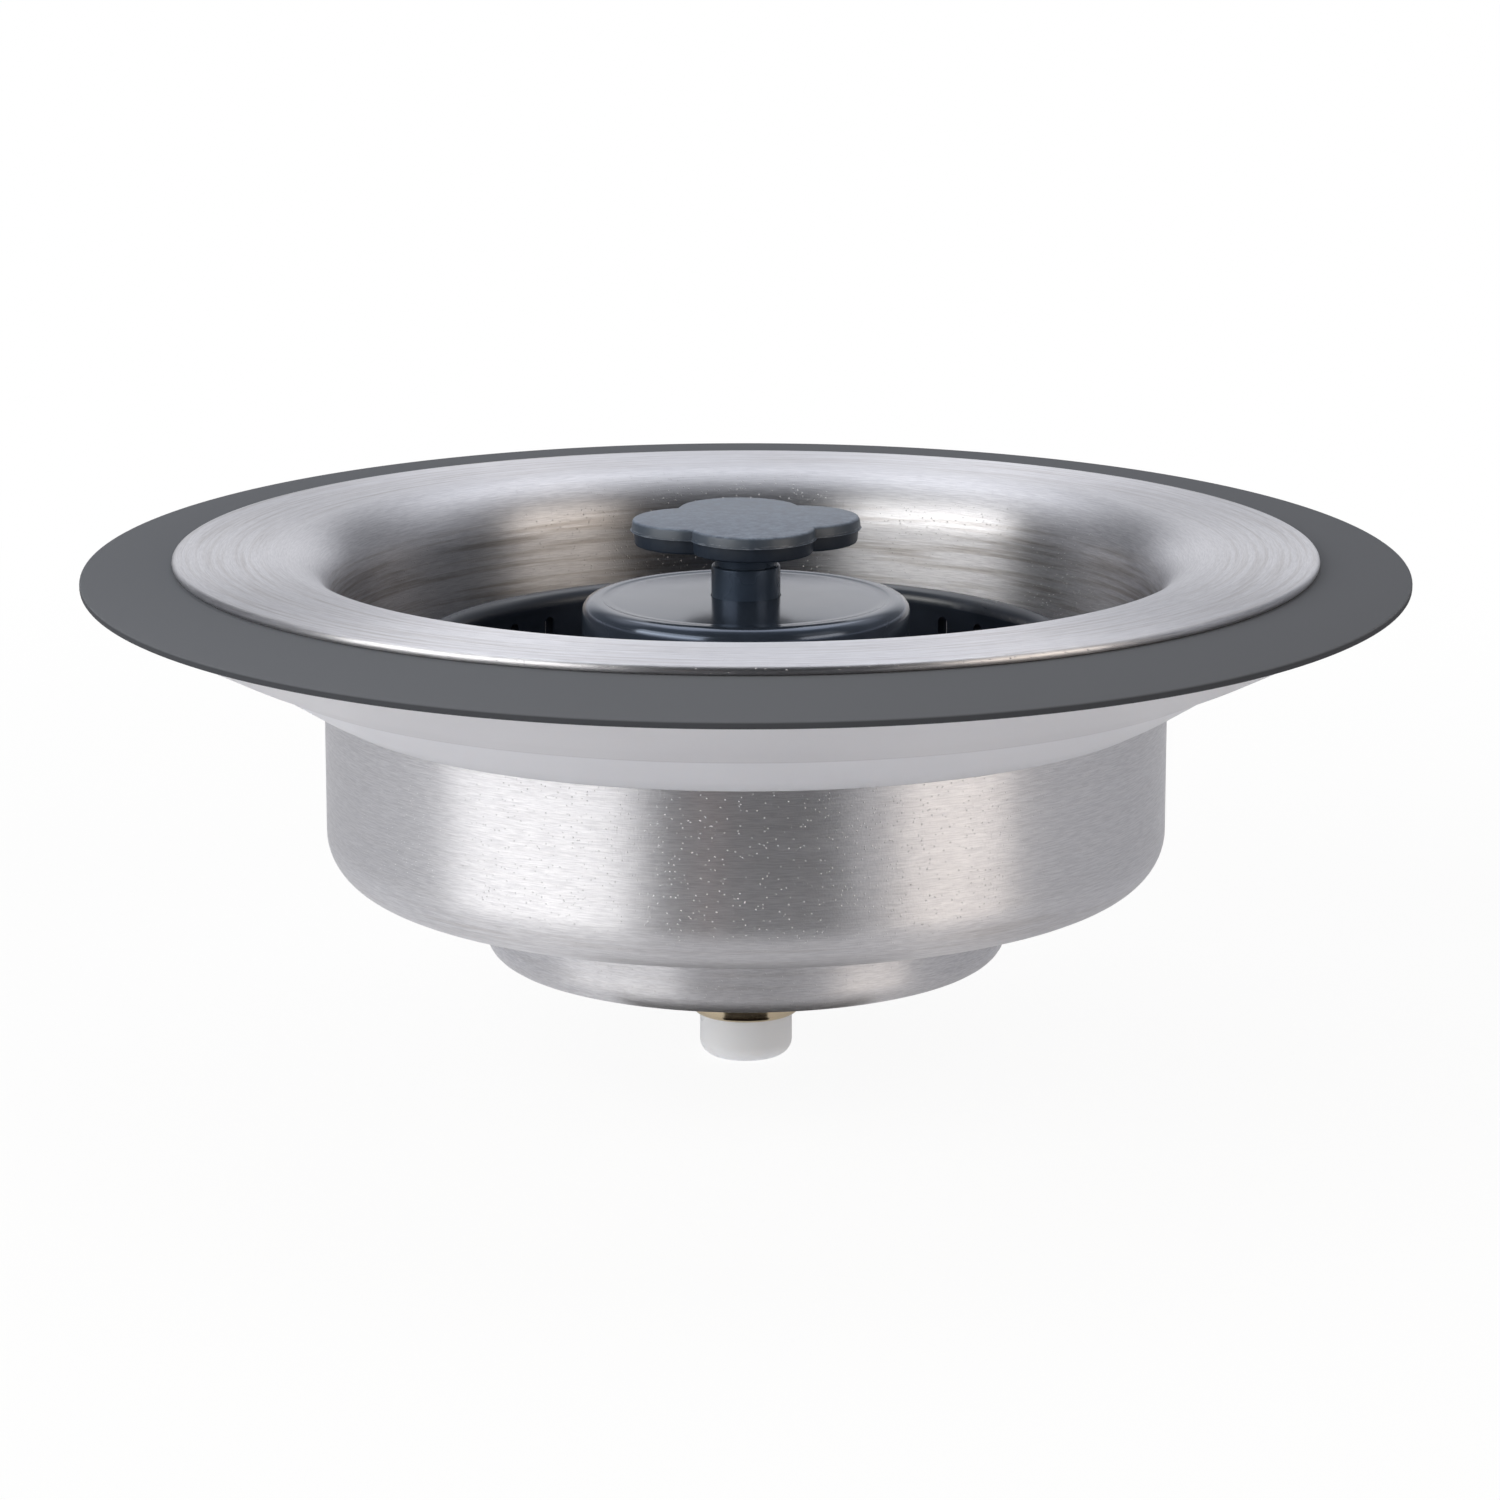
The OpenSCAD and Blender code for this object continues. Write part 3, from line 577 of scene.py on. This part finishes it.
def domedHub():
    rimInside = hub["radius"] - hub["edgeRound"] - hub["rimWidth"]
    first, steps = hub["bore"], hub["domeSteps"]
    radii = [first + (rimInside - first) * i / steps for i in range(steps + 1)]
    dome = [(r, hub["top"] + hub["crown"] - r ** 2 / (2 * hub["domeRadius"]), 0) for r in radii]
    section = dome + [
        (rimInside + hub["rimStep"], hub["top"], 0.12), (hub["radius"], hub["top"], hub["edgeRound"]),
        (hub["radius"], hub["skirtEnd"], 0.2), (hub["skirtInside"], hub["skirtEnd"], 0.1),
        (hub["skirtInside"], hub["plateUnder"], 0), (hub["guideRadius"], hub["plateUnder"], 0),
        (hub["guideRadius"], hub["guideEnd"], 0.2), (hub["bore"], hub["guideEnd"], 0.1),
    ]
    cap = spunPiece("domedHub", section, "basket", ["hub_cap"], "gloss")
    ribs = bmesh.new()
    ribs.from_mesh(cap.data)
    into, over = hub["ribInto"], hub["ribOver"]
    length = hub["towerInside"] - hub["guideRadius"] + into
    for i in range(hub["ribs"]):
        turn = Matrix.Rotation(math.tau * (i + 0.5) / hub["ribs"], 4, "Z")
        place = Matrix.Translation(((hub["guideRadius"] - into + length / 2) * mm, 0,
                                    (hub["plateUnder"] - hub["ribHeight"] / 2 + over) * mm))
        size = Matrix.Diagonal((length * mm, hub["ribThick"] * mm, (hub["ribHeight"] + 2 * over) * mm, 1))
        bmesh.ops.create_cube(ribs, size=1, matrix=turn @ place @ size)
    ribs.to_mesh(cap.data)
    ribs.free()
    cap.data.set_sharp_from_angle(angle=math.radians(sharpAngle))


domedHub()

stem = {
    # mm
    "radius": 3.45,
    "bodyTop": -1.7,
    "edgeRound": 0.22,
    "neckRadius": 3.1,    # between the body and the knob
    "neckInto": 0.05,     # how far the neck reaches into the knob
    "pinRadius": 2,       # the pin that the knob is pressed on
    "pinHeight": 1.6,     # from the knob's underside
    "discTop": -24.15,
    "lowerRadius": 2.9,
    "clipGroove": (-32.35, -31.55, 2.4),    # its lower and upper height and its radius
    "tipRadius": 2.2,
    "tipStart": -33.7,
    "tipChamfer": 0.8,
    "end": -46,
    "detents": (-42.6, -38.3),
    "detentHalf": 0.7,
    "detentDepth": 0.2,
    "turns": 96,
}


def polishedStem():
    # the section goes up from the tip, past two grooves for the grip ring and one for the clip,
    # to the pin in the knob
    tip, chamfer = stem["tipRadius"], stem["tipChamfer"]
    section = [(0, stem["end"], 0), (tip - chamfer, stem["end"], 0.15), (tip, stem["end"] + chamfer, 0.15)]
    for height in stem["detents"]:
        half, deep = stem["detentHalf"], stem["detentDepth"]
        section += [(tip, height - half, 0), (tip - deep, height - half + deep, 0),
                    (tip - deep, height + half - deep, 0), (tip, height + half, 0)]
    low, high, groove = stem["clipGroove"]
    lower, body, neck = stem["lowerRadius"], stem["radius"], stem["neckRadius"]
    neckTop = knob["under"] + stem["neckInto"]
    pin, pinTop = stem["pinRadius"], knob["under"] + stem["pinHeight"]
    section += [
        (tip, stem["tipStart"], 0), (lower, stem["tipStart"], 0.2), (lower, low, 0), (groove, low, 0),
        (groove, high, 0), (lower, high, 0), (lower, stem["discTop"], 0), (body, stem["discTop"], 0.2),
        (body, stem["bodyTop"], stem["edgeRound"]), (neck, stem["bodyTop"], 0), (neck, neckTop, 0),
        (pin, neckTop, 0), (pin, pinTop, 0.2), (0, pinTop, 0),
    ]
    spunPiece("polishedStem", section, "handle", ["stem"], "stem", turns=stem["turns"])


print("knob")
knob = {
    # mm
    "lobeRadius": 6.3,
    "lobeOffset": 5.2,     # from the centre line to the middle of a lobe
    "lobeAngle": 7.3,      # degrees that the first lobe is turned
    "lobeSteps": 40,
    "top": 3.05,
    "parting": 1.95,
    "under": 0.5,
    "topStep": 0.05,       # how far the upper half stands back from the lobes' outline
    "topDraft": 0.12,
    "topBevel": 0.32,
    "underStep": 0.3,      # and the lower half from the flash
    "underDraft": 0.12,
    "underBevel": 0.22,
    "flashOut": 0.05,      # the flash left standing along the parting line
    "flashRagged": 0.1,    # how much further it stands out where it tore
    "flashGrain": 0.9,     # and the distance between such places
    "flashThick": 0.05,
}


def lobedOutline(mesh, grow):
    # four arcs, each spun from the notch where two lobes meet
    reach = (knob["lobeRadius"] + grow) * mm
    offset = knob["lobeOffset"] * mm
    half = offset / math.sqrt(2)
    notch = half + math.sqrt(reach ** 2 - half ** 2)
    sweep = 2 * math.atan2(notch * math.sin(math.pi / 4), notch * math.cos(math.pi / 4) - offset)
    for i in range(4):
        turn = math.radians(knob["lobeAngle"]) + i * math.pi / 2
        before = turn - math.pi / 4
        start = mesh.verts.new((notch * math.cos(before), notch * math.sin(before), 0))
        bmesh.ops.spin(mesh, geom=[start], axis=(0, 0, 1), angle=sweep, steps=knob["lobeSteps"],
                       cent=(offset * math.cos(turn), offset * math.sin(turn), 0))
    bmesh.ops.remove_doubles(mesh, verts=mesh.verts, dist=0.02 * mm)


def extrudedCap(mesh, face, inset, height, shrink, bevel):
    # step in from the edge, pull the rest up or down, draw it in for draft and round its edge
    bmesh.ops.inset_region(mesh, faces=[face], thickness=inset * mm, use_even_offset=True)
    made = bmesh.ops.extrude_face_region(mesh, geom=[face])["geom"]
    verts = [g for g in made if isinstance(g, bmesh.types.BMVert)]
    cap = [g for g in made if isinstance(g, bmesh.types.BMFace)][0]
    bmesh.ops.translate(mesh, verts=verts, vec=(0, 0, height * mm))
    scale = 1 - shrink / (knob["lobeRadius"] + knob["lobeOffset"])
    bmesh.ops.scale(mesh, verts=verts, vec=(scale, scale, 1))
    bmesh.ops.bevel(mesh, geom=list(cap.edges), offset=bevel * mm, offset_type="OFFSET", affect="EDGES",
                    segments=4, profile=0.5, material=-1)


def knobHandle():
    mesh = bmesh.new()
    lobedOutline(mesh, knob["flashOut"])
    for vert in mesh.verts:
        # the flash broke off unevenly
        torn = max(0, noise.noise(vert.co / (knob["flashGrain"] * mm))) * knob["flashRagged"] * mm
        vert.co += vert.co.normalized() * torn
    bmesh.ops.translate(mesh, verts=mesh.verts, vec=(0, 0, (knob["parting"] - knob["flashThick"]) * mm))
    lower = bmesh.ops.contextual_create(mesh, geom=mesh.edges[:])["faces"][0]
    made = bmesh.ops.extrude_face_region(mesh, geom=[lower], use_keep_orig=True)["geom"]
    upper = [g for g in made if isinstance(g, bmesh.types.BMFace) and len(g.verts) > 4][0]
    bmesh.ops.translate(mesh, verts=upper.verts[:], vec=(0, 0, knob["flashThick"] * mm))
    extrudedCap(mesh, upper, knob["flashOut"] + knob["topStep"], knob["top"] - knob["parting"],
                knob["topDraft"], knob["topBevel"])
    extrudedCap(mesh, lower, knob["underStep"], knob["under"] - knob["parting"] + knob["flashThick"],
                knob["underDraft"], knob["underBevel"])
    bmesh.ops.remove_doubles(mesh, verts=mesh.verts, dist=merging)
    bmesh.ops.recalc_face_normals(mesh, faces=mesh.faces)
    finishPiece("knobHandle", mesh, "handle", ["knob"], "knob", sharpFrom=38)


knobHandle()
polishedStem()

print("finishes on the CAD nodes")
for node, finish in {
    "centre_ferrule": "nickel",
    "ferrule_nut": "zinc",
    "stem_socket": "acetal",
    "basket": "basket",
    "plug_disc": "basket",
    "stem_clip": "zinc",
}.items():
    dress(nodes[node], finish)

print("studio")
studio = {
    "floorHeight": -0.0523,         # metres, the lower end of the stem's socket
    "floorSize": 8.0,               # metres
    "floorColour": "#f2f2f5",
    "floorWhite": 0.93,             # the share of the white in view that doesn't depend on the light
    "burntOut": (0.08, 0.3),        # metres from the middle, over which the paper in view turns plain white
    "floorMirrored": (0.54, 0.12),  # how bright the floor is for the metal, left and right of the part
    "mirroredSides": 0.12,          # metres to the sides where those two are reached
    "floorBehind": 0.3,             # the share of that which is left behind the part
    "behindFrom": (-0.02, 0.1),     # metres in depth, over which it falls to that share
    "floorLit": 0.38,               # how bright the floor is for the matt surfaces
    "cards": [
        # angles from the camera's side, nearest and furthest metres, colour
        (-21, -10.5, 0.094, 0.9, "#1a1917"),
        (-10.5, -6.5, 0.094, 0.9, "#a98a80"),
        (-6.5, 23, 0.094, 0.9, "#1a1917"),
        (-42, 42, 0.006, 0.032, "#2b241e"),
    ],
    "cardLift": 0.0005,             # metres above the floor
    "roomLevel": 0.045,             # how bright the dark room is on the camera's side
    "sideLevel": 0.25,              # and the walls beside the part
    "wallSides": (0.8, 1.12),       # their share of that on the left and right
    "wallTint": "#f1f4fb",          # the greyer light on them
    "mirrorTint": "#fcfcff",        # and the daylight that the backdrop picks up
    "backdropLevel": 0.93,
    "backdropFoot": 0.5,            # the share of it that is left at the foot
    "ceilingLevel": 0.95,
    "fillShare": 0.75,              # how much of all that lights the matt surfaces
    "lamps": [
        # name, azimuth from the camera's side, height, distance, width, tall, radiance, colour,
        # and the rays it is hidden from
        ("leftBox", -57, 0.13, 0.75, 0.74, 0.4, 2.7, "#fffdf8", "diffuse"),
        ("rightBox", 56, 0.13, 0.75, 0.43, 0.4, 2.9, "#fff3e4", "diffuse"),
        ("leftUpper", -58, 0.37, 0.7, 0.74, 0.3, 3.0, "#fffdf8", "diffuse"),
        ("rightUpper", 60, 0.52, 0.7, 0.42, 0.4, 0.5, "#fff3e4", "diffuse"),
        ("leftGlow", -58, 0.3, 0.75, 0.74, 0.72, 3.4, "#fffdf8", "glossy"),
        ("rightGlow", 58, 0.3, 0.75, 0.5, 0.72, 2.0, "#fff5e8", "glossy"),
        ("topBox", 180, 1.0, 0.5, 1.0, 0.8, 1.2, "#f6f9ff", "camera"),
    ],
    "lampsAim": -0.01,              # metres, the height on the centre line that they point at
}


def buildWorld():
    world = bpy.data.worlds.new("whiteStudio")
    world.use_nodes = True
    bpy.context.scene.world = world
    tree = world.node_tree
    tree.nodes.clear()
    path = addNode(tree, "ShaderNodeLightPath").outputs
    # a direction has a length of 1, so each of its parts goes from -1 to 1
    direction = addNode(tree, "ShaderNodeTexCoord").outputs["Generated"]
    axes = addNode(tree, "ShaderNodeSeparateXYZ", Vector=direction).outputs
    # grey walls beside the part, which darken to the room on the camera's side
    depth = addNode(tree, "ShaderNodeMapRange", {"interpolation_type": "SMOOTHSTEP"}, Value=axes["Y"],
                    From_Min=-0.5, From_Max=0.1, To_Min=studio["roomLevel"], To_Max=studio["sideLevel"])
    left, right = studio["wallSides"]
    sides = addNode(tree, "ShaderNodeMapRange", Value=axes["X"], From_Min=-0.9, From_Max=0.9,
                    To_Min=left, To_Max=right)
    walls = addNode(tree, "ShaderNodeMath", {"operation": "MULTIPLY"},
                    in0=depth.outputs[0], in1=sides.outputs[0])
    # white backdrop behind it, which darkens towards its foot
    panel = addNode(tree, "ShaderNodeMapRange", {"interpolation_type": "SMOOTHSTEP"}, Value=axes["Y"],
                    From_Min=0.7, From_Max=0.98, To_Min=0.0, To_Max=studio["backdropLevel"])
    foot = addNode(tree, "ShaderNodeMapRange", {"interpolation_type": "SMOOTHSTEP"}, Value=axes["Z"],
                   From_Min=-0.02, From_Max=0.16, To_Min=studio["backdropFoot"], To_Max=1.0)
    backdrop = addNode(tree, "ShaderNodeMath", {"operation": "MULTIPLY"},
                       in0=panel.outputs[0], in1=foot.outputs[0])
    # and white ceiling above its rear half
    upper = addNode(tree, "ShaderNodeMapRange", {"interpolation_type": "SMOOTHSTEP"}, Value=axes["Z"],
                    From_Min=0.35, From_Max=0.75, To_Min=0.0, To_Max=1.0)
    rear = addNode(tree, "ShaderNodeMapRange", {"interpolation_type": "SMOOTHSTEP"}, Value=axes["Y"],
                   From_Min=0.0, From_Max=0.45, To_Min=0.0, To_Max=studio["ceilingLevel"])
    ceiling = addNode(tree, "ShaderNodeMath", {"operation": "MULTIPLY"},
                      in0=upper.outputs[0], in1=rear.outputs[0])
    white = addNode(tree, "ShaderNodeMath", {"operation": "MAXIMUM"},
                    in0=backdrop.outputs[0], in1=ceiling.outputs[0])
    seen = addNode(tree, "ShaderNodeMath", {"operation": "MAXIMUM"},
                   in0=walls.outputs[0], in1=white.outputs[0])
    # metal and glass see all of it, the matt surfaces a share, and the camera plain white
    mirrored = addNode(tree, "ShaderNodeMath", {"operation": "MAXIMUM"},
                       in0=path["Is Glossy Ray"], in1=path["Is Transmission Ray"])
    share = addNode(tree, "ShaderNodeMapRange", Value=mirrored.outputs[0],
                    To_Min=studio["fillShare"], To_Max=1.0)
    level = addNode(tree, "ShaderNodeMath", {"operation": "MULTIPLY"},
                    in0=seen.outputs[0], in1=share.outputs[0])
    final = addNode(tree, "ShaderNodeMix", {"data_type": "FLOAT"}, Factor=path["Is Camera Ray"],
                    in2=level.outputs[0], in3=1.0)
    room = addNode(tree, "ShaderNodeMix", {"data_type": "RGBA"}, Factor=white.outputs[0],
                   in6=toLinear(studio["wallTint"]), in7=toLinear(studio["mirrorTint"]))
    tint = addNode(tree, "ShaderNodeMix", {"data_type": "RGBA"}, Factor=mirrored.outputs[0],
                   in6=(1, 1, 1, 1), in7=room.outputs[2])
    back = addNode(tree, "ShaderNodeBackground", Color=tint.outputs[2], Strength=final.outputs[0])
    addNode(tree, "ShaderNodeOutputWorld", Surface=back.outputs[0])


def buildFloor():
    mesh = bmesh.new()
    half = studio["floorSize"] / 2
    bmesh.ops.create_grid(mesh, x_segments=4, y_segments=4, size=half,
                          matrix=Matrix.Translation((0, 0, studio["floorHeight"])))
    data = bpy.data.meshes.new("paleFloor")
    mesh.to_mesh(data)
    mesh.free()
    floor = bpy.data.objects.new("paleFloor", data)
    bpy.context.scene.collection.objects.link(floor)
    # White paper sweep: seen by the camera it is nearly white everywhere and keeps a faint shadow.
    material = bpy.data.materials.new("whitePaperSweep")
    material.use_nodes = True
    tree = material.node_tree
    tree.nodes.clear()
    path = addNode(tree, "ShaderNodeLightPath").outputs
    seen = addNode(tree, "ShaderNodeMix", {"data_type": "RGBA"}, Factor=path["Is Camera Ray"],
                   in6=toLinear(studio["floorColour"]), in7=(1, 1, 1, 1))
    paper = addNode(tree, "ShaderNodeBsdfDiffuse", Color=seen.outputs[2])
    glow = addNode(tree, "ShaderNodeEmission", Color=(1, 1, 1, 1), Strength=1.0)
    # the shadow stays near the part, and further out the paper burns out to plain white
    place = addNode(tree, "ShaderNodeTexCoord").outputs["Object"]
    away = addNode(tree, "ShaderNodeVectorMath", {"operation": "LENGTH"}, in0=place)
    start, end = studio["burntOut"]
    burnt = addNode(tree, "ShaderNodeMapRange", {"interpolation_type": "SMOOTHSTEP"},
                    Value=away.outputs["Value"], From_Min=start, From_Max=end,
                    To_Min=studio["floorWhite"], To_Max=1.0)
    # the metal mirrors it brighter on the left than on the right, and darker behind the part
    axes = addNode(tree, "ShaderNodeSeparateXYZ", Vector=place).outputs
    left, right = studio["floorMirrored"]
    edge = studio["mirroredSides"]
    across = addNode(tree, "ShaderNodeMapRange", {"interpolation_type": "SMOOTHSTEP"}, Value=axes["X"],
                     From_Min=-edge, From_Max=edge, To_Min=left, To_Max=right)
    start, end = studio["behindFrom"]
    behind = addNode(tree, "ShaderNodeMapRange", {"interpolation_type": "SMOOTHSTEP"}, Value=axes["Y"],
                     From_Min=start, From_Max=end, To_Min=1.0, To_Max=studio["floorBehind"])
    metal = addNode(tree, "ShaderNodeMath", {"operation": "MULTIPLY"},
                    in0=across.outputs[0], in1=behind.outputs[0])
    mirrored = addNode(tree, "ShaderNodeMath", {"operation": "MULTIPLY"},
                       in0=path["Is Glossy Ray"], in1=metal.outputs[0])
    lit = addNode(tree, "ShaderNodeMath", {"operation": "MULTIPLY_ADD"},
                  in0=path["Is Diffuse Ray"], in1=studio["floorLit"], in2=mirrored.outputs[0])
    share = addNode(tree, "ShaderNodeMath", {"operation": "MULTIPLY_ADD"},
                    in0=path["Is Camera Ray"], in1=burnt.outputs[0], in2=lit.outputs[0])
    surface = addNode(tree, "ShaderNodeMixShader",
                      in0=share.outputs[0], in1=paper.outputs[0], in2=glow.outputs[0])
    addNode(tree, "ShaderNodeOutputMaterial", Surface=surface.outputs[0])
    floor.data.materials.append(material)


def buildCards():
    # Dark cards on the table between the two soft boxes, with a thin warm one among them. Only the metal
    # sees them, as the dark band down its middle. A small one below the ferrule darkens its bead.
    height = studio["floorHeight"] + studio["cardLift"]
    for i, (left, right, near, far, colour) in enumerate(studio["cards"]):
        mesh = bmesh.new()
        first, last = (math.radians(a - 90) for a in (left, right))
        edge = [mesh.verts.new((r * math.cos(first), r * math.sin(first), height)) for r in (near, far)]
        line = mesh.edges.new(edge)
        bmesh.ops.spin(mesh, geom=[*edge, line], axis=(0, 0, 1), cent=(0, 0, 0), angle=last - first, steps=12)
        data = bpy.data.meshes.new(f"card{i + 1}")
        mesh.to_mesh(data)
        mesh.free()
        card = bpy.data.objects.new(data.name, data)
        bpy.context.scene.collection.objects.link(card)
        for ray in ("camera", "diffuse", "transmission", "shadow", "volume_scatter"):
            setattr(card, "visible_" + ray, False)
        material = bpy.data.materials.new(f"felt{i + 1}")
        material.use_nodes = True
        tree = material.node_tree
        tree.nodes.clear()
        felt = addNode(tree, "ShaderNodeBsdfDiffuse", Color=toLinear(colour))
        addNode(tree, "ShaderNodeOutputMaterial", Surface=felt.outputs[0])
        card.data.materials.append(material)


def buildLamps():
    for name, azimuth, height, distance, width, tall, radiance, colour, hidden in studio["lamps"]:
        lamp = bpy.data.lights.new(name, "AREA")
        lamp.shape = "RECTANGLE"
        lamp.size = width
        lamp.size_y = tall
        lamp.energy = radiance * math.pi * width * tall    # watts
        lamp.color = toLinear(colour)[:3]
        obj = bpy.data.objects.new(name, lamp)
        bpy.context.scene.collection.objects.link(obj)
        angle = math.radians(azimuth)
        obj.location = (distance * math.sin(angle), -distance * math.cos(angle), height)
        aim = Vector((0, 0, studio["lampsAim"])) - obj.location
        obj.rotation_euler = aim.to_track_quat("-Z", "Y").to_euler()
        obj.visible_camera = False
        setattr(obj, "visible_" + hidden, False)


photoCamera = {
    # fitted to the ellipses of the flange, cup and step
    "place": (0.00041, -0.54023, 0.1033),
    "down": 0.2257,       # radians below level
    "lens": 132.27,       # mm, on a sensor 36 mm wide
    "sensor": 36.0,
    "nearest": 0.01,      # metres
}


def buildCamera():
    data = bpy.data.cameras.new("camera")
    data.lens = photoCamera["lens"]
    data.sensor_width = photoCamera["sensor"]
    data.clip_start = photoCamera["nearest"]
    camera = bpy.data.objects.new("camera", data)
    bpy.context.scene.collection.objects.link(camera)
    camera.location = photoCamera["place"]
    camera.rotation_euler = (math.pi / 2 - photoCamera["down"], 0, 0)
    bpy.context.scene.camera = camera


buildWorld()
buildFloor()
buildCards()
buildLamps()
buildCamera()
bpy.context.scene.view_settings.view_transform = "Standard"
